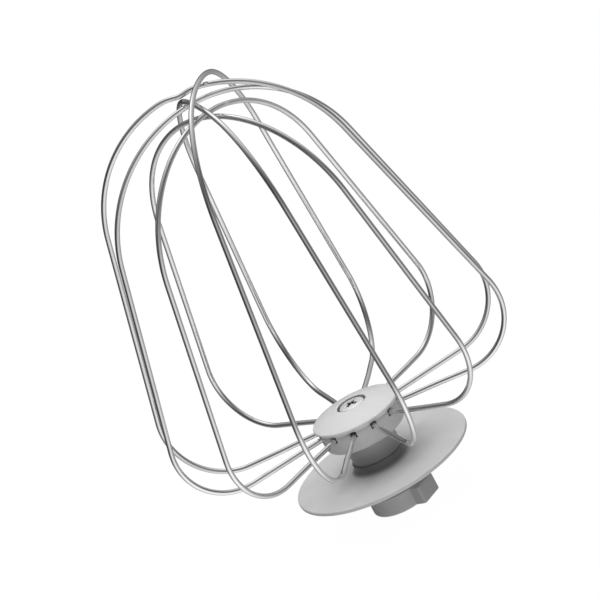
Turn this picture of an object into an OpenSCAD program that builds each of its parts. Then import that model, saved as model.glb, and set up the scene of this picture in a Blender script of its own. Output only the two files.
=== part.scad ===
// Balloon whisk attachment: six wire loops clamped in a moulded hub on a keyed drive coupling.
// Millimetres. The origin is the mouth of the drive socket, +Z points to the tip of the cage
// and +X runs along the first wire loop.

/* [Wire cage] */
// Diameter of the wire
wire_d = 2; // [1.6:0.1:2.2]
// Height of the wires where they leave the hub
spoke_z = 38; // [37.5:0.5:40]
// Radius at which the lines of a spoke and of its leg would meet
corner_reach = 74.5; // [70:0.5:80]
// Bend radius between a spoke and its leg
corner_bend = 22.5; // [16:0.5:26]
// Angle by which the legs lean in towards the tip
leg_lean = 14.5; // [12:0.5:17]
// Height of the wire centre at the middle of the stack of loops at the tip
tip_z = 174.5; // [165:0.5:180]
// Step from loop to loop where they cross at the tip
tip_step = 2.6; // [2.4:0.1:2.8]

/* [Hub] */
// Radius of the domed cap
cap_r = 17.4; // [17.2:0.1:19]
// Radius of the sphere that the cap's dome is part of
dome_r = 47; // [35:1:60]
// Height of the cap above the seam with the wire carrier
cap_h = 5.4; // [5:0.1:6.5]
// Radius of the hub's wall at the seam
hub_r = 16.6; // [16:0.1:16.8]
// Height of the underside of the hub
hub_z = 31; // [30:0.5:31.5]
// Width of the slots that the wires leave through
slot_w = 3.6; // [3:0.1:4]
// Radius of the neck below the hub
neck_r = 9.9; // [9.5:0.1:10.5]

/* [Splash disc] */
// Radius of the disc
disc_r = 35; // [30:0.5:40]
// Thickness of the disc
disc_t = 1.6; // [1.4:0.1:2.4]
// Height of the underside of the disc
disc_z = 17.2; // [16.5:0.1:18]

/* [Drive coupling] */
// Radius of the coupling's drive body
coupling_r = 11.8; // [11:0.1:12.5]
// Height of the drive body
coupling_h = 7.5; // [6.5:0.5:10]
// Radius of the stem between the drive body and the disc
stem_r = 9; // [8.8:0.1:9.5]
// Width of the driving lug
lug_w = 10.7; // [8:0.1:11.4]
// Distance of the lug's outer face from the axis
lug_reach = 14.6; // [13.5:0.1:16]
// Angle of the lug round from the first wire loop
lug_turn = 3.5; // [-10:0.5:10]
// Radius of the bore that fits on the mixer's spindle
socket_r = 5; // [4:0.1:5.2]
// Depth of that bore
socket_depth = 9; // [6:0.5:9.5]

/* [Hidden] */
$fn = 72;
eps = 0.1;               // cutters run this far past the faces that they cut

// Each loop was bent and set by hand, so it sits a little off its ideal place.
loops = 6;
pitch = 180 / loops;
tip_rank = [0, 4, 2, 1, 5, 3];             // order of the loops at the tip, the lowest first
loop_turn = [-1, 2.5, 0, -2, -2, -0.5];    // degrees round the axis from its slots
loop_tilt = [-0.5, 1, 0.5, -4.5, -2.5, 0]; // degrees out of its own plane
loop_sway = [1, -1.5, -0.5, -4.5, -0.5, -1.5]; // degrees sideways in its own plane
// How far outside corner_reach the two legs of a loop are set: its -X leg, then its +X leg
loop_spread = [[-4, -2], [1.5, 1.5], [0.5, 0.5], [-3, -3.5], [2.5, 0.5], [4, -3.5]];

// Hooked wire ends inside the hub
hook_reach = 7.5;        // distance of a hook from the axis
hook_drop = 4.5;         // how far it turns down below the spoke
hook_bend = 2;
joint_proud = 0.01;      // a hair of extra radius where a bend meets a straight stretch

// Clearances
slip = 0.05;             // per side, between pieces that slide together
wire_gap = 0.1;          // above and below a clamped wire
hook_gap = 0.4;          // below a hook
key_gap = 0.2;           // above the key

// Heights of the hub
seam_z = spoke_z + wire_d / 2 + wire_gap;
slot_floor_z = spoke_z - wire_d / 2 - wire_gap;
slot_top_z = seam_z + 0.9;
cap_top_z = seam_z + cap_h;
lip_r = 0.7;             // rounding of the cap's edge
seam_bevel = 0.2;
bevel = 0.3;             // on the other small edges
foot_r = hub_r - 0.5;    // the hub's wall tapers in towards its underside
foot_round = 1.5;
neck_fillet = 0.8;
cap_slot_depth = 3;      // how far the slots run in from the hub's wall in the cap
channel_in_r = 5.6;      // ring-shaped channel for the hooks
channel_out_r = 9.4;
channel_z = spoke_z - hook_drop - hook_gap;

// Clamp screw, M5 with a pan head and a cross recess
screw_r = 2.5;
screw_len = 25;
screw_pitch = 0.8;
thread_depth = 0.45;
thread_turns = 11;
head_r = 4.7;
head_h = 2.5;
head_side = 1;           // height of the head's straight side
head_edge = 1.2;         // rounding from its side to its top
cross_w = 1.1;
cross_len = 5.4;
cross_depth = 1.7;
screw_hole_r = 2.7;
washer_r = 5.2;
washer_t = 0.8;
recess_r = 5.85;         // recess in the cap for the screw's head
recess_z = seam_z + 1.9;
head_z = recess_z + washer_t;
insert_r = 3.6;
insert_len = 9;
knurl_depth = 0.3;
screw_room = 2.5;        // depth of the hole below the insert, for the screw's end

// Collar of the disc, spigot of the neck that stands in it, and hexagonal key of the coupling
collar_r = 10.5;
collar_h = 3.4;
collar_fillet = 2.2;
disc_top_z = disc_z + disc_t;
collar_top_z = disc_top_z + collar_h;
disc_edge = 0.6;         // rounding of the disc's edge
disc_dish = 0.5;         // how far the disc sinks from its rim to its middle
spigot_r = 8.8;
spigot_z = disc_top_z;
key_flats = 13;
key_top_z = 27;
key_root = 1;            // how far the key starts below the disc, inside the stem
coupling_edge = 1.2;
lug_corner = 1;
lug_root = 0.8;          // how far outside the stem's wall the lug starts, inside the drive body
lug_inset = 0.2;         // how far the lug stops short of the drive body's two end faces
ring_wire_r = 0.6;       // half the thickness of the rubber ring
ring_r = 8.35;
sleeve_wall = 1.5;

function unit(v) = v / norm(v);
function arc(centre, r, from, to, steps = 8) =
  [for (i = [0:steps]) let (a = from + (to - from) * i / steps) centre + r * [cos(a), sin(a)]];

// Corners of a loop's route in its own plane, as [sideways, height], from one hooked end to the other.
// The two legs would meet at the middle corner, far above the crown that rounds it off.
function route(sway, spread) =
  let (peak = corner_reach / tan(leg_lean))
  [
    [-hook_reach, spoke_z - hook_drop],
    [-hook_reach, spoke_z],
    [-corner_reach - spread[0], spoke_z],
    [tan(sway) * peak, spoke_z + peak],
    [corner_reach + spread[1], spoke_z],
    [hook_reach, spoke_z],
    [hook_reach, spoke_z - hook_drop]
  ];

// Radius that puts the top of a crown at height z, where lines from a and b would meet at peak
function crown_bend(a, peak, b, z) =
  let (
    u = unit(a - peak),
    v = unit(b - peak),
    half = acos(u * v) / 2
  )
  (peak.y - z) / (-unit(u + v).y / sin(half) - 1);

// Height of a crown in its loop's own plane, before the loop is tilted
function crown_z(i) =
  let (top = tip_z + (tip_rank[i] - (loops - 1) / 2) * tip_step)
  spoke_z + (top - spoke_z) / cos(loop_tilt[i]);

// A rounded corner at b between a and c, as [start, end, centre, radius].
function corner(a, b, c, r) =
  let (
    u = unit(a - b),
    v = unit(c - b),
    half = acos(u * v) / 2
  )
  [b + u * r / tan(half), b + v * r / tan(half), b + unit(u + v) * r / sin(half), r];

// Straight stretch of wire between two places in the loop's plane
module rod(a, b) {
  d = b - a;
  translate([a.x, 0, a.y])
    rotate([0, atan2(d.x, d.y), 0])
      cylinder(h = norm(d), d = wire_d, $fn = 32);
}

// Bent stretch of wire round a rounded corner
module bend(c) {
  from = c[0] - c[2];
  to = c[1] - c[2];
  first = atan2(from.y, from.x);
  turn = ((atan2(to.y, to.x) - first) % 360 + 540) % 360 - 180;
  translate([c[2].x, 0, c[2].y])
    rotate([90, 0, 0])
      rotate([0, 0, turn < 0 ? first + turn : first])
        rotate_extrude(angle = abs(turn), $fn = 120)
          translate([c[3], 0])
            circle(d = wire_d, $fn = 32);
}

// One closed loop with a hook at each end
module wire_loop(i) {
  points = route(loop_sway[i], loop_spread[i]);
  crown = crown_bend(points[2], points[3], points[4], crown_z(i));
  radii = [hook_bend, corner_bend, crown, corner_bend, hook_bend];
  bends = [for (k = [0:4]) corner(points[k], points[k + 1], points[k + 2], radii[k])];
  color("silver")
    rotate([0, 0, i * pitch + loop_turn[i]])
      translate([0, 0, spoke_z])
        rotate([-loop_tilt[i], 0, 0])
          translate([0, 0, -spoke_z]) {
            rod(points[0], bends[0][0]);
            for (b = bends)
              bend(b);
            for (k = [0:3])
              rod(bends[k][1], bends[k + 1][0]);
            rod(bends[4][1], points[6]);
            for (b = bends, end = [0, 1])
              translate([b[end].x, 0, b[end].y])
                sphere(r = wire_d / 2 + joint_proud, $fn = 48);
          }
}

// Cutters for the slots that the wires leave through, two to a loop
module slots(from_r, top_z) {
  for (k = [0:2 * loops - 1])
    rotate([0, 0, k * pitch])
      translate([from_r, -slot_w / 2, slot_floor_z])
        cube([hub_r + 2 - from_r, slot_w, top_z - slot_floor_z]);
}

// Hexagonal prism of the key, grown by a clearance per side
module key(gap, from_z, to_z) {
  translate([0, 0, from_z])
    cylinder(h = to_z - from_z, r = (key_flats / 2 + gap) / cos(30), $fn = 6);
}

module hub_cap() {
  dome_z = cap_top_z - dome_r;
  lip_x = cap_r - lip_r;
  lip_z = dome_z + sqrt(pow(dome_r - lip_r, 2) - lip_x * lip_x);
  blend = atan2(lip_z - dome_z, lip_x);
  mouth = acos((recess_r + bevel) / dome_r);
  color("lightgray")
    difference() {
      rotate_extrude()
        polygon(concat(
          [[screw_hole_r, seam_z], [hub_r - seam_bevel, seam_z], [hub_r, seam_z + seam_bevel]],
          [[hub_r, lip_z - lip_r]],
          arc([lip_x, lip_z], lip_r, -90, blend),
          arc([0, dome_z], dome_r, blend, mouth, 12),
          [[recess_r, dome_z + dome_r * sin(mouth) - bevel], [recess_r, recess_z]],
          [[screw_hole_r, recess_z]]
        ));
      slots(hub_r - cap_slot_depth, slot_top_z);
    }
}

// Pan-head screw: the threaded end is cut as rings
module clamp_screw() {
  end_z = head_z - screw_len;
  color("gainsboro")
    difference() {
      rotate_extrude()
        polygon(concat(
          [[0, end_z], [screw_r - thread_depth, end_z]],
          [for (k = [0:thread_turns - 1], s = [0, 1])
            [screw_r - thread_depth * (1 - s), end_z + (k + s / 2) * screw_pitch]],
          [[screw_r - thread_depth, end_z + thread_turns * screw_pitch]],
          [[screw_r, end_z + thread_turns * screw_pitch + thread_depth], [screw_r, head_z]],
          [[head_r, head_z], [head_r, head_z + head_side]],
          arc([head_r - head_edge, head_z + head_side], head_edge, 0, 70, 6),
          [[0, head_z + head_h]]
        ));
      for (a = [0, 90])
        rotate([0, 0, a])
          translate([-cross_len / 2, -cross_w / 2, head_z + head_h - cross_depth])
            cube([cross_len, cross_w, cross_depth + eps]);
    }
}

module head_washer() {
  color("silver")
    translate([0, 0, recess_z])
      difference() {
        cylinder(h = washer_t, r = washer_r);
        translate([0, 0, -eps])
          cylinder(h = washer_t + 2 * eps, r = screw_hole_r);
      }
}

// Bowl of the hub with its neck in one moulding
module wire_carrier() {
  color("darkgray")
    difference() {
      rotate_extrude()
        polygon(concat(
          [[screw_hole_r, spigot_z], [spigot_r, spigot_z], [spigot_r, collar_top_z]],
          [[neck_r, collar_top_z]],
          arc([neck_r + neck_fillet, hub_z - neck_fillet], neck_fillet, 180, 90, 4),
          arc([foot_r - foot_round, hub_z + foot_round], foot_round, -90, 0),
          [[hub_r, seam_z - seam_bevel], [hub_r - seam_bevel, seam_z], [screw_hole_r, seam_z]]
        ));
      slots(channel_in_r, seam_z + eps);
      translate([0, 0, channel_z])
        difference() {
          cylinder(h = seam_z - channel_z + eps, r = channel_out_r);
          translate([0, 0, -eps])
            cylinder(h = seam_z - channel_z + 3 * eps, r = channel_in_r);
        }
      key(slip, spigot_z - eps, key_top_z + key_gap);
    }
}

// Dished disc with a collar that holds the neck's spigot
module splash_disc() {
  middle_z = disc_top_z - disc_dish;
  fillet_x = collar_r + collar_fillet;
  color("lightgray")
    difference() {
      rotate_extrude()
        polygon(concat(
          [[0, disc_z], [disc_r - disc_edge, disc_z]],
          arc([disc_r - disc_edge, disc_z + disc_edge], disc_edge, -90, 0, 5),
          arc([disc_r - disc_edge, disc_top_z - disc_edge], disc_edge, 0, 90, 5),
          arc([fillet_x, middle_z + collar_fillet], collar_fillet, -90, -180),
          [[collar_r, collar_top_z - bevel], [collar_r - bevel, collar_top_z], [0, collar_top_z]]
        ));
      translate([0, 0, spigot_z])
        cylinder(h = collar_h + eps, r = spigot_r + slip);
      key(slip, disc_z - eps, spigot_z + eps);
    }
}

module seal_ring() {
  color("dimgray")
    translate([0, 0, disc_z - slip - ring_wire_r])
      rotate_extrude()
        translate([ring_r, 0])
          circle(r = ring_wire_r, $fn = 32);
}

// Knurled brass insert, its knurl drawn as three plain bands
module threaded_insert() {
  band = insert_len / 5;
  color("goldenrod")
    translate([0, 0, key_top_z - insert_len])
      difference() {
        union() {
          cylinder(h = insert_len, r = insert_r - knurl_depth);
          for (k = [0, 2, 4])
            translate([0, 0, k * band])
              cylinder(h = band, r = insert_r);
        }
        translate([0, 0, -eps])
          cylinder(h = insert_len + 2 * eps, r = screw_r + slip);
      }
}

// Round drive body with one lug, a stem, and the key that stands in the disc and the neck
module drive_coupling() {
  groove_z = disc_z - 2 * ring_wire_r - 2 * slip;
  groove_r = ring_r - ring_wire_r - slip;
  color("gray")
    difference() {
      union() {
        rotate_extrude()
          polygon(concat(
            [[0, 0]],
            arc([coupling_r - coupling_edge, coupling_edge], coupling_edge, -90, 0, 6),
            [[coupling_r, coupling_h - bevel], [coupling_r - bevel, coupling_h], [stem_r, coupling_h]],
            [[stem_r, groove_z], [groove_r, groove_z], [groove_r, disc_z], [0, disc_z]]
          ));
        rotate([0, 0, lug_turn])
          lug();
        key(0, disc_z - key_root, key_top_z);
      }
      translate([0, 0, -eps])
        cylinder(h = socket_depth + eps, r = socket_r + sleeve_wall);
      translate([0, 0, key_top_z - insert_len - screw_room])
        cylinder(h = insert_len + screw_room + eps, r = insert_r);
    }
}

// Driving lug: a flat tab that starts inside the drive body, its two outer corners rounded
module lug() {
  half = lug_w / 2;
  root = stem_r + lug_root;
  translate([0, 0, lug_inset])
    linear_extrude(height = coupling_h - 2 * lug_inset)
      polygon(concat(
        [[root, half], [root, -half]],
        arc([lug_reach - lug_corner, -half + lug_corner], lug_corner, -90, 0, 5),
        arc([lug_reach - lug_corner, half - lug_corner], lug_corner, 0, 90, 5)
      ));
}

module drive_sleeve() {
  color("silver")
    difference() {
      cylinder(h = socket_depth, r = socket_r + sleeve_wall);
      translate([0, 0, -eps])
        cylinder(h = socket_depth + 2 * eps, r = socket_r);
    }
}

hub_cap();
clamp_screw();
head_washer();
wire_carrier();
for (i = [0:loops - 1])
  wire_loop(i);
splash_disc();
seal_ring();
threaded_insert();
drive_coupling();
drive_sleeve();
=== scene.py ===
"""Looks of the balloon whisk attachment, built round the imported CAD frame.

Sizes are in millimetres, in the frame's own axes, and become metres where a mesh, a light or the
camera is made. A material's texture scales and bump distances are in metres throughout. +Z runs
from the drive socket to the tip of the cage.
"""
from math import acos, asin, atan2, cos, degrees, exp, pi, radians, sin, sqrt, tan

import bmesh
import bpy
from mathutils import Matrix, Vector


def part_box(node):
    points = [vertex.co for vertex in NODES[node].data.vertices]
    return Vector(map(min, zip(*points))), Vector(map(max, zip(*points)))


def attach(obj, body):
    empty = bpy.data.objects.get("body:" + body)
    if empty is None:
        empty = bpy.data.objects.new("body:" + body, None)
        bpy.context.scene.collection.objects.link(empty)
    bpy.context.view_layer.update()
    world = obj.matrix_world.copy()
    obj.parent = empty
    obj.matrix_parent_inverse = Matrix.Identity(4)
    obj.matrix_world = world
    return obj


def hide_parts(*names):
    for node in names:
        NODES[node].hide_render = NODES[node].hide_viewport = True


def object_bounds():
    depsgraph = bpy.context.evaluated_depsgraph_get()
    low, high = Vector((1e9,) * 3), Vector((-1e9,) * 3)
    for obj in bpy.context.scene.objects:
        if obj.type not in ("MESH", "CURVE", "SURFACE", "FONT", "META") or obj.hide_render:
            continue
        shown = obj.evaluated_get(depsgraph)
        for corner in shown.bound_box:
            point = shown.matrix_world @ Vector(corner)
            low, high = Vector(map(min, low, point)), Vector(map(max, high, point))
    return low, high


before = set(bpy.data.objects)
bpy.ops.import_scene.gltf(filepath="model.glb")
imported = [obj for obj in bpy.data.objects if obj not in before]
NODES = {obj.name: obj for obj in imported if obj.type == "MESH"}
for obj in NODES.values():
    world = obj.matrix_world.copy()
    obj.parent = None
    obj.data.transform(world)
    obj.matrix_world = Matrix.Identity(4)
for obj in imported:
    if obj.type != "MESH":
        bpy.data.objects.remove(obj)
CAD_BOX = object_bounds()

MM = 0.001


def low(node):
    """Lowest corner of a node's box, in millimetres."""
    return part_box(node)[0] / MM


def high(node):
    """Highest corner of a node's box, in millimetres."""
    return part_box(node)[1] / MM


# ---------------------------------------------------------------------------------------------
# Sizes read from the frame
# ---------------------------------------------------------------------------------------------
CAP_R = high("hub_cap").x
SEAM_Z = low("hub_cap").z
HUB_R = high("wire_carrier").x
SPIGOT_Z = low("wire_carrier").z
DISC_R = high("splash_disc").x
DISC_Z = low("splash_disc").z
COLLAR_Z = high("splash_disc").z
BODY_R = -low("drive_coupling").x
LUG_REACH = high("drive_coupling").x
KEY_Z = high("drive_coupling").z
HEAD_Z = high("head_washer").z
HEAD_TOP = high("clamp_screw").z
SCREW_TIP = low("clamp_screw").z
SLEEVE_R = high("drive_sleeve").x
SLEEVE_Z = high("drive_sleeve").z

# ---------------------------------------------------------------------------------------------
# Sizes that the frame doesn't hold as a box
# ---------------------------------------------------------------------------------------------
# Hub: the wires' slots, the ring-shaped channel for their hooks, and the screw's passage
SLOTS = 12
SLOT_HALF = 1.15
SLOT_FLOOR = 36.9
SLOT_ROOF = 39.45
SLOT_IN = 9.0
CHANNEL_IN, CHANNEL_OUT, CHANNEL_Z = 5.6, 9.4, 33.1
BOLT_HOLE = 2.7

# Cap
DOME_R = 47.0
CAP_TOP = SEAM_Z + 5.4
LIP = 0.7
RECESS_R = 5.85
RECESS_Z = HEAD_Z - 0.8

# Wire carrier
NECK_R = 9.9
HUB_Z = 31.0
FOOT_R = 16.1
FOOT_ROUND = 1.5

# Splash disc, its collar, and the spigot in it
DISC_T = 1.6
DISC_DISH = 0.5
COLLAR_R = 10.5
COLLAR_FILLET = 2.2
SPIGOT_R = 8.8
SPIGOT_GAP = 0.05

# Drive coupling
BODY_H = 7.5
STEM_R = 9.0
LUG_HALF = 5.35
LUG_TURN = 3.5
KEY_FLATS = 13.0
KEY_GAP = 0.1
GROOVE_R = 7.7
GROOVE_H = 1.3

# Clamp screw and its insert
HEAD_R = 5.2
CROSS_R = 3.0
CROSS_DEPTH = 2.1
SCREW_R = 2.5
THREAD_PITCH = 0.8
THREAD_DEPTH = 0.45
THREAD_LENGTH = 9.0
INSERT_R = 3.6
INSERT_DEPTH = 11.5

# Broken edge of a moulding
BEVEL = 0.2

# Wire loops, and how each was bent and set by hand. rank is its place at the tip, the lowest 0.
# turn, tilt and sway are in degrees. spread, bend and lift are a pair, for its -X and its +X leg:
# how far outside REACH the corner is, the corner's bend radius, and how far the corner is raised.
# kink is a dent near the tip: its place along the crown, its width, and its shift sideways and up.
WIRE_R = 0.985
WIRE_STEP = 1.6
SPOKE_Z = 38.0
REACH = 74.5
HOOK_REACH, HOOK_DROP, HOOK_BEND = 7.5, 4.5, 2.0
LEAN = radians(14.5)
TIP_Z, TIP_STEP = 174.5, 2.6
# A loop's own turn fades in between two heights, or two distances from the axis. A kink's shift
# fades in between two heights.
TURN_HEIGHTS = (60, 80)
TURN_REACHES = (12, 35)
KINK_HEIGHTS = (130, 160)
LOOPS = (
    dict(
        node="wire_loop_1", rank=0, turn=-1.0, tilt=-0.5, sway=1.0,
        spread=(-4.5, -2.5), bend=(22, 22), lift=(1.0, 1.0),
    ),
    dict(
        node="wire_loop_2", rank=4, turn=2.5, tilt=1.0, sway=-1.5,
        spread=(2.5, 1.5), bend=(24, 23), lift=(-2.0, -0.5), kink=(-2.7, 4.2, 0.0, -1.1),
    ),
    dict(
        node="wire_loop_3", rank=2, turn=0.0, tilt=0.5, sway=-0.5,
        spread=(0.5, 0.0), bend=(22, 21), lift=(0.5, 0.5),
    ),
    dict(
        node="wire_loop_4", rank=1, turn=-2.0, tilt=-4.5, sway=-4.5,
        spread=(-3.5, -4.5), bend=(22, 22), lift=(0.5, 1.0),
    ),
    dict(
        node="wire_loop_5", rank=5, turn=-2.0, tilt=-2.5, sway=-0.5,
        spread=(3.5, -1.0), bend=(27, 23), lift=(-2.0, 3.0), kink=(7.0, 26.0, -1.9, -0.2),
    ),
    dict(
        node="wire_loop_6", rank=3, turn=-0.5, tilt=0.0, sway=-1.5,
        spread=(5.5, -5.0), bend=(25, 25), lift=(1.0, 3.5), kink=(-6.0, 20.0, 1.4, 0.0),
    ),
)


# ---------------------------------------------------------------------------------------------
# Camera
# ---------------------------------------------------------------------------------------------
def aim_matrix(eye, target, roll=0.0):
    """Matrix of something at `eye` that looks at `target`, rolled by `roll` radians."""
    look = (target - eye).normalized()
    turn = look.to_track_quat("-Z", "Y").to_matrix().to_4x4()
    return Matrix.Translation(eye) @ turn @ Matrix.Rotation(roll, 4, "Z")


def towards(azimuth, elevation):
    """Unit vector at `azimuth` degrees round from +X and `elevation` degrees up."""
    a, e = radians(azimuth), radians(elevation)
    return Vector((cos(a) * cos(e), sin(a) * cos(e), sin(e)))


AIM_X, AIM_Y, AIM_DROP = 1.15, 0.95, 1.95
CAMERA_TURN, CAMERA_RISE = -43.1, 18.0
CAMERA_ROLL = -28.25
CAMERA_DISTANCE = 1147
LENS, SENSOR = 187.5, 36


def make_camera():
    """Camera at the photograph's viewing angle, aimed close to the middle of the whisk."""
    half_height = CAD_BOX[1].z / 2
    aim = Vector((AIM_X * MM, AIM_Y * MM, half_height - AIM_DROP * MM))
    eye = aim + towards(CAMERA_TURN, CAMERA_RISE) * CAMERA_DISTANCE * MM
    data = bpy.data.cameras.new("camera")
    data.sensor_width = SENSOR
    data.lens = LENS
    data.clip_start, data.clip_end = 0.05, 20
    camera = bpy.data.objects.new("camera", data)
    bpy.context.scene.collection.objects.link(camera)
    camera.matrix_world = aim_matrix(eye, aim, radians(CAMERA_ROLL))
    bpy.context.scene.camera = camera


make_camera()


# ---------------------------------------------------------------------------------------------
# Mesh helpers
# ---------------------------------------------------------------------------------------------
SHARP = radians(32)


def show(name, mesh, node, slot):
    """Shows a finished mesh, in metres, in a CAD node's place. It rides on the part's only body."""
    mesh.transform(Matrix.Scale(MM, 4))
    mesh.polygons.foreach_set("use_smooth", [True] * len(mesh.polygons))
    mesh.set_sharp_from_angle(angle=SHARP)
    mesh.materials.append(MATERIALS[slot])
    shown = bpy.data.objects.new(name, mesh)
    bpy.context.scene.collection.objects.link(shown)
    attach(shown, "root")
    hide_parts(node)


def close_mesh(name, bm, merge=0.0005):
    """Merges points that fell together, turns every face outwards and returns the mesh."""
    bmesh.ops.remove_doubles(bm, verts=bm.verts, dist=merge)
    bmesh.ops.dissolve_degenerate(bm, edges=bm.edges, dist=merge / 2)
    bmesh.ops.recalc_face_normals(bm, faces=bm.faces)
    if bm.calc_volume(signed=True) < 0:
        bmesh.ops.reverse_faces(bm, faces=bm.faces)
    mesh = bpy.data.meshes.new(name)
    bm.to_mesh(mesh)
    bm.free()
    return mesh


def skin(rings, caps=True):
    """Bmesh of a stack of rings that hold the same number of points each."""
    bm = bmesh.new()
    rows = [[bm.verts.new(p) for p in ring] for ring in rings]
    count = len(rows[0])
    for a, b in zip(rows, rows[1:]):
        for i in range(count):
            j = (i + 1) % count
            bm.faces.new((a[i], a[j], b[j], b[i]))
    if caps:
        bm.faces.new(rows[0])
        bm.faces.new(reversed(rows[-1]))
    return bm


def arc(cx, cz, r, start, end, steps):
    """Points of an arc from `start` to `end` degrees."""
    turns = [radians(start + (end - start) * i / steps) for i in range(steps + 1)]
    return [(cx + r * cos(a), cz + r * sin(a)) for a in turns]


def circle(r, z, count):
    """Points of a level circle round the axis."""
    return [(r * cos(2 * pi * i / count), r * sin(2 * pi * i / count), z) for i in range(count)]


def spun(outline, turn, z):
    """Points of a flat outline, turned round the axis and raised to a height."""
    c, s = cos(turn), sin(turn)
    return [(x * c - y * s, x * s + y * c, z) for x, y in outline]


def lathe(outline, count=144, closed=False):
    """Bmesh of an outline of (radius, height) turned round the axis; a point on the axis closes it."""
    rings = [circle(max(r, 0.0001), z, count) for r, z in outline]
    if closed:
        rings.append(rings[0])
    return skin(rings, caps=not closed)


def combine(operation, mesh, *others):
    """The mesh with the other solids joined to it (UNION) or taken out of it (DIFFERENCE)."""
    body = bpy.data.objects.new("body", mesh)
    bpy.context.scene.collection.objects.link(body)
    tools = []
    for other in others:
        tool = bpy.data.objects.new("tool", other)
        bpy.context.scene.collection.objects.link(tool)
        tools.append(tool)
        modifier = body.modifiers.new("combine", "BOOLEAN")
        modifier.operation = operation
        modifier.solver = "EXACT"
        modifier.object = tool
    graph = bpy.context.evaluated_depsgraph_get()
    result = bpy.data.meshes.new_from_object(body.evaluated_get(graph))
    result.name = mesh.name
    for thing in (body, *tools):
        bpy.data.objects.remove(thing)
    return result


def hex_corner(flats):
    """Radius of a hexagon's corners, from its width across the flats."""
    return flats / 2 / cos(pi / 6)


def hex_prism(flats, bottom, top):
    """Mesh of a hexagonal prism, `flats` across its flats."""
    return close_mesh("hex", skin([circle(hex_corner(flats), z, 6) for z in (bottom, top)]))


# ---------------------------------------------------------------------------------------------
# Materials
# ---------------------------------------------------------------------------------------------
class Nodes:
    """A material's node tree, with short ways to add nodes to it and link them."""

    def __init__(self, name):
        self.material = bpy.data.materials.new(name)
        self.material.use_nodes = True
        self.tree = self.material.node_tree
        self.shader = self.tree.nodes["Principled BSDF"]

    def add(self, kind, links=(), **settings):
        """A new node. `links` are (input name, source socket) and settings are inputs or properties."""
        node = self.tree.nodes.new("ShaderNode" + kind)
        for key, value in settings.items():
            if hasattr(node, key):
                setattr(node, key, value)
            else:
                node.inputs[key.replace("_", " ")].default_value = value
        for key, source in links:
            self.tree.links.new(source, node.inputs[key])
        return node

    def feed(self, key, source):
        """Links a socket to the shader's own input."""
        self.tree.links.new(source, self.shader.inputs[key])

    def scaled(self, source, scale):
        """Coordinates from `source` times `scale`, one number or three."""
        factor = (scale,) * 3 if isinstance(scale, (int, float)) else scale
        return self.add("Mapping", [("Vector", source)], Scale=factor).outputs[0]

    def ramp(self, source, *stops):
        """Colour ramp of (place, grey or colour) stops."""
        node = self.add("ValToRGB", [("Fac", source)])
        band = node.color_ramp
        for i, (place, value) in enumerate(stops):
            spot = band.elements[i] if i < 2 else band.elements.new(place)
            spot.position = place
            grey = isinstance(value, (int, float))
            spot.color = (value, value, value, 1) if grey else (*value, 1)
        return node.outputs["Color"]

    def mix(self, fraction, a, b, blend="MIX"):
        """Mixes two colours, each a socket or a colour."""
        node = self.add("Mix", data_type="RGBA", blend_type=blend)
        for index, value in ((0, fraction), (6, a), (7, b)):
            if isinstance(value, bpy.types.NodeSocket):
                self.tree.links.new(value, node.inputs[index])
            elif isinstance(value, (int, float)):
                node.inputs[index].default_value = value
            else:
                node.inputs[index].default_value = (*value, 1)
        return node.outputs[2]

    def remap(self, source, low_value, high_value):
        """A number from 0 to 1 moved to a new range."""
        node = self.add("MapRange", [("Value", source)])
        node.inputs["To Min"].default_value = low_value
        node.inputs["To Max"].default_value = high_value
        return node.outputs["Result"]

    def span(self, source, start, end):
        """0 where a number is below `start`, rising smoothly to 1 at `end`."""
        node = self.add("MapRange", [("Value", source)], interpolation_type="SMOOTHSTEP")
        node.inputs["From Min"].default_value = start
        node.inputs["From Max"].default_value = end
        return node.outputs["Result"]

    def radius(self, split):
        """Distance from the axis, from separated coordinates."""
        flat = self.add("CombineXYZ", [("X", split.outputs["X"]), ("Y", split.outputs["Y"])])
        length = self.add("VectorMath", [(0, flat.outputs[0])], operation="LENGTH")
        return length.outputs["Value"]

    def larger(self, a, b):
        """The larger of two numbers."""
        return self.add("Math", [(0, a), (1, b)], operation="MAXIMUM").outputs[0]

    def bump(self, height, strength, distance, after=None):
        """Normal bumped by `height`, on top of the normal `after`."""
        node = self.add("Bump", [("Height", height)], Strength=strength, Distance=distance)
        if after is not None:
            self.tree.links.new(after, node.inputs["Normal"])
        return node.outputs["Normal"]


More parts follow.
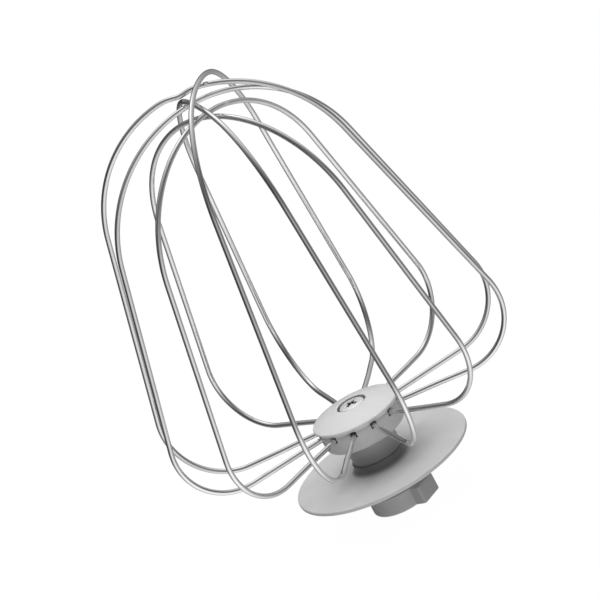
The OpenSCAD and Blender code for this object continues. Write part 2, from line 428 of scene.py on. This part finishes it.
def moulded_plastic(name, grey, roughness, neck=None, core=None):
    """Satin moulded plastic: fine grain, faint flow clouds, light handling marks and worn edges.

    `neck` is a pair of greys below the hub, at its foot and its top: the coupling's darker grey at the
    top, with painted shade that deepens towards the foot. `core` is painted shade, a darker grey near
    the axis, with the radius that it reaches, the one where it has faded out, and the height that it
    starts at.
    """
    n = Nodes(name)
    place = n.add("TexCoord").outputs["Object"]
    clouds = n.add("TexNoise", [("Vector", place)], Scale=90.0, Detail=4.0, Roughness=0.55)
    grain = n.add("TexNoise", [("Vector", place)], Scale=5200.0, Detail=3.0, Roughness=0.6)
    scuff_place = n.scaled(place, (900.0, 260.0, 2600.0))
    scuffs = n.add("TexNoise", [("Vector", scuff_place)], Scale=1.0, Detail=6.0, Roughness=0.7)
    tone = n.ramp(clouds.outputs["Fac"], (0.35, grey * 0.955), (0.65, grey))
    split = n.add("SeparateXYZ", [("Vector", place)])
    # Painted shade on the neck: from the coupling's grey under the hub it darkens towards the collar.
    if neck is not None:
        fade = n.span(split.outputs["Z"], COLLAR_Z * MM, (HUB_Z - 1.0) * MM)
        rise = n.span(split.outputs["Z"], (HUB_Z - 1.0) * MM, (HUB_Z - 0.2) * MM)
        tone = n.mix(rise, n.mix(fade, (neck[0],) * 3, (neck[1],) * 3), tone)
    # Painted shade near the axis: a darker grey inside a radius, above a height.
    if core is not None:
        dark, reach, end, foot = core
        outside = n.span(n.radius(split), reach * MM, end * MM)
        under = n.span(split.outputs["Z"], foot * MM, (foot - 0.1) * MM)
        tone = n.mix(n.larger(outside, under), (dark,) * 3, tone)
    specks = n.ramp(grain.outputs["Fac"], (0.30, 0.93), (0.50, 1.0))
    tone = n.mix(0.6, tone, specks, "MULTIPLY")
    edge = n.add("NewGeometry").outputs["Pointiness"]
    worn = n.mix(n.span(edge, 0.52, 0.60), (1, 1, 1), (1.12, 1.12, 1.12))
    n.feed("Base Color", n.mix(1.0, tone, worn, "MULTIPLY"))
    marks = n.ramp(scuffs.outputs["Fac"], (0.46, 0.0), (0.72, 1.0))
    n.feed("Roughness", n.remap(marks, roughness - 0.05, roughness + 0.10))
    fine = n.bump(grain.outputs["Fac"], 0.35, 0.00002)
    n.feed("Normal", n.bump(clouds.outputs["Fac"], 0.25, 0.00012, fine))
    n.shader.inputs["IOR"].default_value = 1.49
    return n.material


def drawn_wire():
    """Drawn and polished stainless wire: fine lines along it, and a slightly uneven polish."""
    n = Nodes("wire_steel")
    place = n.add("UVMap", uv_map="along").outputs["UV"]
    line_place = n.scaled(place, (2600.0, 24.0, 1.0))
    lines = n.add("TexNoise", [("Vector", line_place)], Scale=1.0, Detail=5.0, Roughness=0.65)
    polish_place = n.scaled(place, (300.0, 45.0, 1.0))
    polish = n.add("TexNoise", [("Vector", polish_place)], Scale=1.0, Detail=3.0)
    tone = n.ramp(polish.outputs["Fac"], (0.3, (0.70, 0.70, 0.705)), (0.7, (0.82, 0.82, 0.82)))
    streaks = n.ramp(lines.outputs["Fac"], (0.30, 0.90), (0.60, 1.0))
    n.feed("Base Color", n.mix(0.8, tone, streaks, "MULTIPLY"))
    n.feed("Roughness", n.remap(lines.outputs["Fac"], 0.06, 0.16))
    n.feed("Normal", n.bump(lines.outputs["Fac"], 0.20, 0.000005))
    n.shader.inputs["Metallic"].default_value = 1.0
    return n.material


def turned_steel(name, bright, roughness, metallic=1.0, recess_shade_below=None):
    """Turned steel: fine rings round the axis and a few random nicks. Plating is less metallic.

    Below a given height, near the axis, the cross recess is painted near black as shade.
    """
    n = Nodes(name)
    place = n.add("TexCoord").outputs["Object"]
    split = n.add("SeparateXYZ", [("Vector", place)])
    radius = n.radius(split)
    section = n.add("CombineXYZ", [("X", radius), ("Z", split.outputs["Z"])])
    ring_place = n.scaled(section.outputs[0], 9000.0)
    rings = n.add("TexNoise", [("Vector", ring_place)], Scale=1.0, Detail=2.0)
    nicks = n.add("TexNoise", [("Vector", place)], Scale=1400.0, Detail=4.0)
    low_tone, high_tone = (bright * 0.86,) * 3, (bright,) * 3
    tone = n.ramp(nicks.outputs["Fac"], (0.38, low_tone), (0.55, high_tone))
    # Painted shade: the cross recess is near black.
    if recess_shade_below is not None:
        above_recess_shade = n.span(split.outputs["Z"], (recess_shade_below - 0.15) * MM, recess_shade_below * MM)
        beyond_recess_shade = n.span(radius, CROSS_R * MM, (CROSS_R + 0.3) * MM)
        tone = n.mix(n.larger(above_recess_shade, beyond_recess_shade), (0.03, 0.03, 0.03), tone)
    n.feed("Base Color", tone)
    n.feed("Roughness", n.remap(rings.outputs["Fac"], roughness - 0.06, roughness + 0.12))
    n.feed("Normal", n.bump(rings.outputs["Fac"], 0.25, 0.00001))
    n.shader.inputs["Metallic"].default_value = metallic
    return n.material


def knurled_brass():
    """Brass with a diamond knurl in its bump."""
    n = Nodes("insert_brass")
    place = n.add("TexCoord").outputs["Object"]
    waves = []
    for side in (1.0, -1.0):
        slant = n.scaled(place, (1.0, side, 1.0))
        wave = n.add("TexWave", [("Vector", slant)], Scale=900.0, bands_direction="DIAGONAL")
        waves.append(wave.outputs["Color"])
    knurl = n.mix(1.0, waves[0], waves[1], "MULTIPLY")
    tarnish = n.add("TexNoise", [("Vector", place)], Scale=600.0, Detail=4.0)
    dull, bright = (0.55, 0.40, 0.18), (0.78, 0.60, 0.30)
    n.feed("Base Color", n.ramp(tarnish.outputs["Fac"], (0.3, dull), (0.7, bright)))
    n.feed("Roughness", n.remap(tarnish.outputs["Fac"], 0.25, 0.40))
    n.feed("Normal", n.bump(knurl, 0.5, 0.0001))
    n.shader.inputs["Metallic"].default_value = 1.0
    return n.material


def moulded_rubber():
    """Black rubber with a dull bloom."""
    n = Nodes("seal_rubber")
    place = n.add("TexCoord").outputs["Object"]
    bloom = n.add("TexNoise", [("Vector", place)], Scale=700.0, Detail=5.0)
    n.feed("Base Color", n.ramp(bloom.outputs["Fac"], (0.35, 0.018), (0.7, 0.045)))
    n.feed("Roughness", n.remap(bloom.outputs["Fac"], 0.55, 0.75))
    n.feed("Normal", n.bump(bloom.outputs["Fac"], 0.3, 0.00002))
    return n.material


# Painted shade inside the cap's recess for the screw's head.
RECESS_PAINTED_SHADE = (0.30, RECESS_R + 0.02, RECESS_R + 0.1, SEAM_Z)
# Painted shade round the foot of the disc's collar, on its upper side only.
COLLAR_PAINTED_SHADE = (0.165, COLLAR_R, COLLAR_R + COLLAR_FILLET, DISC_Z + 0.4)
MATERIALS = {
    "cap_plastic": moulded_plastic("cap_plastic", 0.79, 0.34, core=RECESS_PAINTED_SHADE),
    # The neck below the hub is the coupling's grey, darkened towards its foot by painted shade.
    "carrier_plastic": moulded_plastic("carrier_plastic", 0.62, 0.40, neck=(0.25, 0.42)),
    "disc_plastic": moulded_plastic("disc_plastic", 0.70, 0.38, core=COLLAR_PAINTED_SHADE),
    "coupling_plastic": moulded_plastic("coupling_plastic", 0.42, 0.40),
    "wire_steel": drawn_wire(),
    # The screw's cross recess is painted near black as shade.
    "screw_steel": turned_steel("screw_steel", 0.98, 0.20, 0.35, HEAD_TOP - 0.40),
    "sleeve_steel": turned_steel("sleeve_steel", 0.62, 0.30),
    "insert_brass": knurled_brass(),
    "seal_rubber": moulded_rubber(),
}


def dress(node, slot):
    """A CAD node stays and takes a detailed material."""
    kept = NODES[node]
    kept.data.materials.clear()
    kept.data.materials.append(MATERIALS[slot])


# ---------------------------------------------------------------------------------------------
# Wire loops
# ---------------------------------------------------------------------------------------------
def loop_route(loop):
    """Corners of a loop in its own plane, as (sideways, height), and the bend radius at each."""
    peak = Vector((tan(radians(loop["sway"])) * REACH / tan(LEAN), SPOKE_Z + REACH / tan(LEAN)))
    left = (-REACH - loop["spread"][0], SPOKE_Z + loop["lift"][0])
    right = (REACH + loop["spread"][1], SPOKE_Z + loop["lift"][1])
    corners = [
        (-HOOK_REACH, SPOKE_Z - HOOK_DROP), (-HOOK_REACH, SPOKE_Z), left, peak,
        right, (HOOK_REACH, SPOKE_Z), (HOOK_REACH, SPOKE_Z - HOOK_DROP),
    ]
    corners = [Vector(c) for c in corners]
    u, v = (corners[2] - peak).normalized(), (corners[4] - peak).normalized()
    top = TIP_Z + (loop["rank"] - (len(LOOPS) - 1) / 2) * TIP_STEP
    crown = SPOKE_Z + (top - SPOKE_Z) / cos(radians(loop["tilt"]))
    crown_bend = (peak.y - crown) / (-(u + v).normalized().y / sin(u.angle(v) / 2) - 1)
    return corners, [HOOK_BEND, loop["bend"][0], crown_bend, loop["bend"][1], HOOK_BEND]


def rounded(corners, radii, step):
    """Points along the route at most about `step` apart, each corner rounded to its radius."""
    points = [corners[0]]

    def straight(to):
        start = points[-1]
        parts = max(1, round((to - start).length / step))
        points.extend(start.lerp(to, i / parts) for i in range(1, parts + 1))

    for a, b, c, r in zip(corners, corners[1:], corners[2:], radii):
        u, v = (a - b).normalized(), (c - b).normalized()
        half = u.angle(v) / 2
        straight(b + u * r / tan(half))
        centre = b + (u + v).normalized() * r / sin(half)
        spin = points[-1] - centre
        sweep = pi - 2 * half
        sign = 1 if u.cross(v) < 0 else -1
        parts = max(6, round(1.5 * sweep * r / step))
        for i in range(1, parts + 1):
            turn = Matrix.Rotation(sign * sweep * i / parts, 2)
            points.append(centre + turn @ spin)
    straight(corners[-1])
    return points


def smooth_step(x, start, end):
    """0 where `x` is below `start`, rising smoothly to 1 at `end`."""
    x = min(max((x - start) / (end - start), 0.0), 1.0)
    return x * x * (3 - 2 * x)


def wire_line(loop, index):
    """Centre line of a loop, in the frame's axes. The ends lie true in their slots."""
    tilt = (
        Matrix.Translation((0, 0, SPOKE_Z))
        @ Matrix.Rotation(radians(-loop["tilt"]), 4, "X")
        @ Matrix.Translation((0, 0, -SPOKE_Z))
    )
    place, width, sideways, up = loop.get("kink", (0, 1, 0, 0))
    line = []
    for flat in rounded(*loop_route(loop), step=WIRE_STEP):
        dent = exp(-((flat.x - place) / width) ** 2) * smooth_step(flat.y, *KINK_HEIGHTS)
        free = max(smooth_step(flat.y, *TURN_HEIGHTS), smooth_step(abs(flat.x), *TURN_REACHES))
        turn = index * 180 / len(LOOPS) + loop["turn"] * free
        point = Vector((flat.x, sideways * dent, flat.y + up * dent))
        line.append(Matrix.Rotation(radians(turn), 4, "Z") @ tilt @ point)
    return line


def tube(name, line, radius, sides=28):
    """Mesh of a round wire along a line, its UV map "along" in metres round and along it."""
    bm = bmesh.new()
    uv = bm.loops.layers.uv.new("along")
    ahead = [(b - a).normalized() for a, b in zip(line, line[1:])]
    ahead.append(ahead[-1])
    side = ahead[0].orthogonal().normalized()
    rows, run, last = [], 0.0, line[0]
    for k, point in enumerate(line):
        tangent = (ahead[k] + ahead[max(k - 1, 0)]).normalized()
        side = (side - tangent * side.dot(tangent)).normalized()
        up = tangent.cross(side)
        run += (point - last).length
        last = point
        turns = [2 * pi * i / sides for i in range(sides)]
        ring = [point + (side * cos(a) + up * sin(a)) * radius for a in turns]
        rows.append((run, [bm.verts.new(p) for p in ring]))
    girth = 2 * pi * radius
    for (run_a, a), (run_b, b) in zip(rows, rows[1:]):
        for i in range(sides):
            j = (i + 1) % sides
            face = bm.faces.new((a[i], a[j], b[j], b[i]))
            spots = ((i, run_a), (i + 1, run_a), (i + 1, run_b), (i, run_b))
            for corner, (turn, along) in zip(face.loops, spots):
                corner[uv].uv = (turn / sides * girth * MM, along * MM)
    bm.faces.new(rows[0][1])
    bm.faces.new(reversed(rows[-1][1]))
    return close_mesh(name, bm)


def make_wires():
    """The six loops, evenly round the axis."""
    for index, loop in enumerate(LOOPS):
        name = "wire_%d" % (index + 1)
        mesh = tube(name, wire_line(loop, index), WIRE_R)
        show(name, mesh, loop["node"], "wire_steel")


# ---------------------------------------------------------------------------------------------
# Hub: cap and wire carrier
# ---------------------------------------------------------------------------------------------
SLOT_ROUND = 0.25
# A slot's points: round each corner of its mouth, and across its end in parts of its half width
SLOT_CORNER = 4
SLOT_END = (-1, -0.6, -0.2, 0.2, 0.6, 1)
WALL_STEPS = 10
SECTOR = 2 * pi / SLOTS


def slot_turns():
    """Angles of a plain ring's points, in the same order as a slotted ring's."""
    edge = asin((SLOT_HALF + SLOT_ROUND) / HUB_R)
    count = 2 * SLOT_CORNER + len(SLOT_END)
    middle = (count - 1) / 2
    inside = [edge * (i - middle) / middle for i in range(count)]
    outside = [edge + (SECTOR - 2 * edge) * i / WALL_STEPS for i in range(1, WALL_STEPS)]
    return [(k * SECTOR + a, a in inside) for k in range(SLOTS) for a in inside + outside]


PLAIN = slot_turns()
SECTOR_POINTS = len(PLAIN) // SLOTS


def plain_ring(r, z, slot_r=None):
    """Ring of the hub; `slot_r` is its radius across the slots, where that differs."""
    mouth = range(SLOT_CORNER, SLOT_CORNER + len(SLOT_END))
    points = []
    for i, (a, _) in enumerate(PLAIN):
        q = slot_r if slot_r and i % SECTOR_POINTS in mouth else r
        points.append((q * cos(a), q * sin(a), z))
    return points


def inner_ring(r, z):
    """Ring inside the slots' ends, its points gathered so that they face the slotted ring's."""
    edge = asin((SLOT_HALF + SLOT_ROUND) / r)
    ends = [-edge] * SLOT_CORNER + [edge * y for y in SLOT_END] + [edge] * SLOT_CORNER
    walls = [edge + (SECTOR - 2 * edge) * i / WALL_STEPS for i in range(1, WALL_STEPS)]
    turns = [k * SECTOR + a for k in range(SLOTS) for a in ends + walls]
    return [(r * cos(a), r * sin(a), z) for a in turns]


def slotted_ring(r, z, grow=0.0):
    """Ring of the hub that steps in along the walls of each slot. `grow` widens the slots."""
    half = SLOT_HALF + grow
    outer = sqrt(r * r - (half + SLOT_ROUND) ** 2)
    corner = arc(outer - SLOT_ROUND, -half - SLOT_ROUND, SLOT_ROUND, 0, 90, SLOT_CORNER - 1)
    end = [(SLOT_IN, half * y) for y in SLOT_END]
    slot = corner + end + [(x, -y) for x, y in reversed(corner)]
    points = []
    for i, (a, inside) in enumerate(PLAIN):
        k, j = divmod(i, SECTOR_POINTS)
        t = k * SECTOR
        spot = slot[j] if inside else (r * cos(a - t), r * sin(a - t))
        points += spun([spot], t, z)
    return points


def make_carrier():
    """Bowl with the slots' lower halves, the neck and the spigot, in one moulding."""

    def wall(z):
        share = (z - HUB_Z - FOOT_ROUND) / (SEAM_Z - HUB_Z - FOOT_ROUND)
        return FOOT_R + (HUB_R - FOOT_R) * share

    fillet = 0.8
    under_r = (NECK_R + FOOT_R) / 2
    mid_z = 34.5
    profile = [(BOLT_HOLE, SEAM_Z), (BOLT_HOLE, SPIGOT_Z)]
    profile += [(SPIGOT_R - BEVEL, SPIGOT_Z), (SPIGOT_R, SPIGOT_Z + BEVEL), (SPIGOT_R, COLLAR_Z)]
    profile += [(NECK_R, COLLAR_Z), (NECK_R, (COLLAR_Z + HUB_Z) / 2)]
    profile += arc(NECK_R + fillet, HUB_Z - fillet, fillet, 180, 90, 6)
    profile += [(under_r, HUB_Z)]
    profile += arc(FOOT_R - FOOT_ROUND, HUB_Z + FOOT_ROUND, FOOT_ROUND, -90, 0, 8)
    rings = [plain_ring(r, z) for r, z in profile]
    floor, top = SLOT_FLOOR, SEAM_Z
    rings += [
        plain_ring(wall(mid_z), mid_z),
        plain_ring(wall(floor - BEVEL), floor - BEVEL),
        plain_ring(wall(floor), floor, wall(floor) - BEVEL),
        slotted_ring(wall(floor), floor),
        slotted_ring(wall(top - BEVEL), top - BEVEL),
        slotted_ring(wall(top) - BEVEL * 0.3, top - BEVEL * 0.3, BEVEL * 0.3),
        slotted_ring(wall(top) - BEVEL, top, BEVEL),
        inner_ring(SLOT_IN - BEVEL, top),
    ]
    solid = close_mesh("hub_carrier", skin(rings + [rings[0]], caps=False))
    section = [(CHANNEL_IN, CHANNEL_Z), (CHANNEL_OUT, CHANNEL_Z)]
    section += [(CHANNEL_OUT, CAP_TOP), (CHANNEL_IN, CAP_TOP)]
    channel = lathe(section, 96, closed=True)
    pocket = hex_prism(KEY_FLATS + KEY_GAP, SPIGOT_Z - 1, KEY_Z + 0.2)
    mesh = combine("DIFFERENCE", solid, close_mesh("channel", channel), pocket)
    show("hub_carrier", mesh, "wire_carrier", "carrier_plastic")


def make_cap():
    """Domed cap with a lip, a recess for the screw's head and the slots' upper halves."""
    dome_z = CAP_TOP - DOME_R
    lip_x = CAP_R - LIP
    lip_z = dome_z + sqrt((DOME_R - LIP) ** 2 - lip_x ** 2)
    blend = degrees(atan2(lip_z - dome_z, lip_x))
    rim_bevel = 0.3
    mouth = degrees(acos((RECESS_R + rim_bevel) / DOME_R))
    roof = SLOT_ROOF
    rings = [
        plain_ring(BOLT_HOLE, RECESS_Z),
        plain_ring(BOLT_HOLE, SEAM_Z),
        inner_ring(SLOT_IN - BEVEL, SEAM_Z),
        slotted_ring(HUB_R - BEVEL, SEAM_Z, BEVEL),
        slotted_ring(HUB_R - BEVEL * 0.3, SEAM_Z + BEVEL * 0.3, BEVEL * 0.3),
        slotted_ring(HUB_R, SEAM_Z + BEVEL),
        slotted_ring(HUB_R, roof),
        plain_ring(HUB_R, roof, HUB_R - BEVEL),
        plain_ring(HUB_R, roof + BEVEL),
        plain_ring(HUB_R, lip_z - LIP - 0.15),
        plain_ring(HUB_R + 0.15, lip_z - LIP),
    ]
    profile = arc(lip_x, lip_z, LIP, -90, blend, 12)
    profile += arc(0, dome_z, DOME_R, blend, mouth, 24)[1:]
    rim = profile[-1][1]
    profile += [(RECESS_R + 0.1, rim - 0.08), (RECESS_R, rim - rim_bevel)]
    profile += [(RECESS_R, RECESS_Z + rim_bevel), (RECESS_R - rim_bevel, RECESS_Z)]
    rings += [plain_ring(r, z) for r, z in profile]
    mesh = close_mesh("cap", skin(rings + [rings[0]], caps=False))
    show("cap", mesh, "hub_cap", "cap_plastic")


# ---------------------------------------------------------------------------------------------
# Clamp screw
# ---------------------------------------------------------------------------------------------
def cross_wing(turn):
    """Mesh of one tapered wing of the cutter for a cross recess."""
    rows = []
    for long, wide, z in ((CROSS_R, 0.85, HEAD_TOP + 0.2), (1.3, 0.5, HEAD_TOP - CROSS_DEPTH)):
        rows.append(spun([(long, -wide), (long, wide), (-long, wide), (-long, -wide)], turn, z))
    return close_mesh("wing", skin(rows))


def make_screw():
    """Pan-head screw with a cross recess."""
    side = HEAD_Z + 1.0
    edge, shoulder_r = 0.15, 1.2
    root = SCREW_R - THREAD_DEPTH
    profile = [(0, SCREW_TIP), (SCREW_R - 0.6, SCREW_TIP)]
    z = SCREW_TIP + 0.3
    while z < SCREW_TIP + THREAD_LENGTH:
        profile += [(root, z), (SCREW_R, z + THREAD_PITCH / 2)]
        z += THREAD_PITCH
    profile += [(root, z), (SCREW_R, z + THREAD_DEPTH), (SCREW_R, HEAD_Z)]
    profile += [(HEAD_R - edge, HEAD_Z), (HEAD_R, HEAD_Z + edge), (HEAD_R, side)]
    profile += arc(HEAD_R - shoulder_r, side, shoulder_r, 0, 66, 8)[1:]
    shoulder = profile[-1]
    crown = HEAD_TOP - shoulder[1]
    sphere = (shoulder[0] ** 2 + crown ** 2) / (2 * crown)
    first = degrees(acos(shoulder[0] / sphere))
    profile += [(r, z) for r, z in arc(0, HEAD_TOP - sphere, sphere, first, 90, 10)[1:-1]]
    profile += [(0, HEAD_TOP)]
    solid = close_mesh("screw", lathe(profile, 96))
    mesh = combine("DIFFERENCE", solid, cross_wing(0), cross_wing(pi / 2))
    show("screw", mesh, "clamp_screw", "screw_steel")


# ---------------------------------------------------------------------------------------------
# Splash disc
# ---------------------------------------------------------------------------------------------
def make_disc():
    """Thin dished disc with a rounded rim, a filleted collar and a hexagonal hole."""
    edge = 0.55
    top = DISC_Z + DISC_T
    middle = top - DISC_DISH
    foot = COLLAR_R + COLLAR_FILLET
    rim_in, rise, curl = DISC_R - 2.2, 0.8 * DISC_DISH, 2.2
    steps = (0, 0.25, 0.5, 0.75, 1)
    dish = [(foot + (rim_in - foot) * s, middle + rise * s ** curl) for s in steps]
    profile = [(0, DISC_Z), (STEM_R - 0.8, DISC_Z), (STEM_R, DISC_Z), (DISC_R - 4, DISC_Z)]
    profile += arc(DISC_R - edge, DISC_Z + edge, edge, -90, 0, 6)
    profile += arc(DISC_R - edge, top - edge, edge, 0, 90, 6)
    profile += [(DISC_R - 1.2, top - 0.02), (DISC_R - 1.7, top - 0.06)]
    profile += list(reversed(dish))
    profile += arc(foot, middle + COLLAR_FILLET, COLLAR_FILLET, -90, -180, 10)[1:]
    profile += [(COLLAR_R, COLLAR_Z - 0.35), (COLLAR_R - 0.1, COLLAR_Z - 0.1), (COLLAR_R - 0.35, COLLAR_Z)]
    bore = SPIGOT_R + SPIGOT_GAP
    profile += [(bore, COLLAR_Z), (bore, SPIGOT_Z), (0, SPIGOT_Z)]
    hole = hex_prism(KEY_FLATS + KEY_GAP, DISC_Z - 1, SPIGOT_Z + 1)
    mesh = combine("DIFFERENCE", close_mesh("disc", lathe(profile, 192)), hole)
    show("disc", mesh, "splash_disc", "disc_plastic")


# ---------------------------------------------------------------------------------------------
# Drive coupling
# ---------------------------------------------------------------------------------------------
LUG_CORNER = 1.0
LUG_POINTS = 19
BODY_STEPS = 96


def coupling_ring(r, z, lug=0.0, inset=0.0):
    """Ring of the drive body. With `lug`, it runs out round the lug's outline, drawn in by `inset`."""
    edge = asin(LUG_HALF / BODY_R)
    corner = LUG_CORNER
    turns = [edge + (2 * pi - 2 * edge) * i / BODY_STEPS for i in range(BODY_STEPS + 1)]
    if lug:
        half, reach = LUG_HALF - inset, lug - inset
        root = sqrt(r * r - half * half)
        near = [(root, -half), (root + 0.25 * (reach - corner - root), -half)]
        near += arc(reach - corner, -half + corner, corner, -90, 0, 6)
        outline = near + [(reach, 0)] + [(x, -y) for x, y in reversed(near)]
    else:
        middle = (LUG_POINTS - 1) / 2
        closing = [edge * (i - middle) / (middle + 0.6) for i in range(LUG_POINTS)]
        outline = [(r * cos(a), r * sin(a)) for a in closing]
    points = [(r * cos(a), r * sin(a)) for a in turns] + outline
    return spun(points, radians(LUG_TURN), z)


def make_coupling():
    """Round drive body with its lug, stem, seal groove, hexagonal key and two bores."""
    round_, lug_edge, inset_z, mouth = 1.2, 0.3, 0.2, 0.25
    reach = LUG_REACH
    bottom = arc(BODY_R - round_, round_, round_, -90, 0, 10)
    inside = [(SLEEVE_R, SLEEVE_Z), (SLEEVE_R, mouth), (SLEEVE_R + mouth, 0)]

    def body_r(z):
        return BODY_R - round_ + sqrt(max(0.0, round_ ** 2 - max(0.0, round_ - z) ** 2))

    rings = [coupling_ring(r, z) for r, z in inside]
    rings += [coupling_ring(r, z) for r, z in bottom if z < inset_z]
    start = body_r(inset_z)
    rings += [coupling_ring(start, inset_z), coupling_ring(start, inset_z, reach, lug_edge)]
    for a in (30, 60, 90):
        z = inset_z + lug_edge * (1 - cos(radians(a)))
        rings.append(coupling_ring(body_r(z), z, reach, lug_edge * (1 - sin(radians(a)))))
    rings += [coupling_ring(body_r(z), z, reach) for _, z in bottom if z > inset_z + lug_edge]
    top = BODY_H - inset_z
    for a in (90, 60, 30, 0):
        z = top - lug_edge * (1 - cos(radians(a)))
        rings.append(coupling_ring(BODY_R, z, reach, lug_edge * (1 - sin(radians(a)))))
    groove = DISC_Z - GROOVE_H
    outside = [(BODY_R, top)] + arc(BODY_R - BEVEL, BODY_H - BEVEL, BEVEL, 0, 90, 4)
    outside += [(STEM_R + 0.4, BODY_H), (STEM_R + 0.1, BODY_H + 0.1), (STEM_R, BODY_H + 0.4)]
    outside += [(STEM_R, groove), (GROOVE_R, groove), (GROOVE_R, DISC_Z), (0, DISC_Z)]
    rings += [coupling_ring(r, z) for r, z in outside]
    body = close_mesh("coupling", skin([coupling_ring(0, SLEEVE_Z)] + rings, caps=False))
    corner, chamfer = hex_corner(KEY_FLATS), 0.4
    steps = [(corner, DISC_Z - 1), (corner, KEY_Z - chamfer), (corner - chamfer, KEY_Z)]
    key = close_mesh("key", skin([circle(r, z, 6) for r, z in steps]))
    bore_ends = (KEY_Z - INSERT_DEPTH, KEY_Z + 1)
    bore = close_mesh("bore", skin([circle(INSERT_R, z, 64) for z in bore_ends]))
    mesh = combine("DIFFERENCE", combine("UNION", body, key), bore)
    show("coupling", mesh, "drive_coupling", "coupling_plastic")


# ---------------------------------------------------------------------------------------------
# Stage
# ---------------------------------------------------------------------------------------------
FLOOR_R = 8000.0
FLOOR_GAP = 0.05
FLOOR_GLOW, FLOOR_MATTE = 0.985, 0.025


def make_floor():
    """Pale floor that glows almost white and takes only a faint shadow."""
    bm = bmesh.new()
    bmesh.ops.create_circle(bm, cap_ends=True, segments=96, radius=FLOOR_R * MM)
    mesh = bpy.data.meshes.new("floor")
    bm.to_mesh(mesh)
    bm.free()
    floor = bpy.data.objects.new("floor", mesh)
    bpy.context.scene.collection.objects.link(floor)
    floor.location.z = CAD_BOX[0].z - FLOOR_GAP * MM
    floor.visible_diffuse = False
    floor.visible_glossy = False
    n = Nodes("floor")
    glow = n.add("Emission", Strength=FLOOR_GLOW)
    matte = n.add("BsdfDiffuse")
    matte.inputs["Color"].default_value = (FLOOR_MATTE, FLOOR_MATTE, FLOOR_MATTE, 1)
    both = n.add("AddShader", [(0, glow.outputs[0]), (1, matte.outputs[0])])
    n.tree.links.new(both.outputs[0], n.tree.nodes["Material Output"].inputs["Surface"])
    mesh.materials.append(n.material)


# The studio is a pale tent with soft places that are darker or brighter, each given as its azimuth,
# elevation, strength and tightness. Their sum is raised to a power and scaled.
TENT = 1.0
DARKEST = 0.1
CONTRAST, EXPOSURE = 1.9, 2.4
ROOM = (
    (-105, 7, -0.40, 6.0),
    (18, 17, -0.41, 7.0),
    (-50, 40, -0.53, 3.5),
    (62, -19, -0.52, 1.2),
    (-170, 4, -0.73, 1.3),
    (137, 62, 0.35, 20.0),
    (137, -4, -0.21, 9.0),
)


def make_world():
    """White for the camera, the studio's soft lobes for light and reflections."""
    world = bpy.data.worlds.new("studio")
    bpy.context.scene.world = world
    world.use_nodes = True
    tree = world.node_tree

    def math(operation, a, b):
        node = tree.nodes.new("ShaderNodeMath")
        node.operation = operation
        for socket, value in zip(node.inputs, (a, b)):
            if isinstance(value, bpy.types.NodeSocket):
                tree.links.new(value, socket)
            else:
                socket.default_value = value
        return node.outputs[0]

    place = tree.nodes.new("ShaderNodeTexCoord").outputs["Generated"]
    total = TENT
    for azimuth, elevation, strength, tightness in ROOM:
        facing = tree.nodes.new("ShaderNodeVectorMath")
        facing.operation = "DOT_PRODUCT"
        facing.inputs[1].default_value = towards(azimuth, elevation)
        tree.links.new(place, facing.inputs[0])
        fall = math("MULTIPLY", math("SUBTRACT", facing.outputs["Value"], 1.0), tightness)
        lobe = math("MULTIPLY", math("EXPONENT", fall, 0.0), strength)
        total = math("ADD", total, lobe)
    grey = tree.nodes["Background"]
    grey.inputs["Color"].default_value = (1, 1, 1, 1)
    total = math("POWER", math("MAXIMUM", total, DARKEST), CONTRAST)
    tree.links.new(math("MULTIPLY", total, EXPOSURE), grey.inputs["Strength"])
    white = tree.nodes.new("ShaderNodeBackground")
    white.inputs["Color"].default_value = (1, 1, 1, 1)
    seen = tree.nodes.new("ShaderNodeLightPath")
    mix = tree.nodes.new("ShaderNodeMixShader")
    tree.links.new(seen.outputs["Is Camera Ray"], mix.inputs[0])
    tree.links.new(grey.outputs[0], mix.inputs[1])
    tree.links.new(white.outputs[0], mix.inputs[2])
    tree.links.new(mix.outputs[0], tree.nodes["World Output"].inputs["Surface"])


SOFTBOX_SIDE, SOFTBOX_DISTANCE = 1000.0, 1200.0
SOFTBOX_WATTS = 10.5


def make_softbox():
    """Square softbox above, which lights the plastic and stays out of the wires' reflections."""
    direction = Vector((0.0, -0.10, 0.99))
    data = bpy.data.lights.new("top_softbox", "AREA")
    data.shape = "RECTANGLE"
    data.size = data.size_y = SOFTBOX_SIDE * MM
    data.energy = SOFTBOX_WATTS
    light = bpy.data.objects.new("top_softbox", data)
    bpy.context.scene.collection.objects.link(light)
    middle = (CAD_BOX[0] + CAD_BOX[1]) / 2
    light.matrix_world = aim_matrix(middle + direction * SOFTBOX_DISTANCE * MM, middle)
    light.visible_glossy = False


make_wires()
make_carrier()
make_cap()
make_screw()
make_disc()
make_coupling()
dress("head_washer", "screw_steel")
dress("seal_ring", "seal_rubber")
dress("threaded_insert", "insert_brass")
dress("drive_sleeve", "sleeve_steel")
make_floor()
make_world()
make_softbox()
bpy.context.scene.view_settings.view_transform = "Standard"
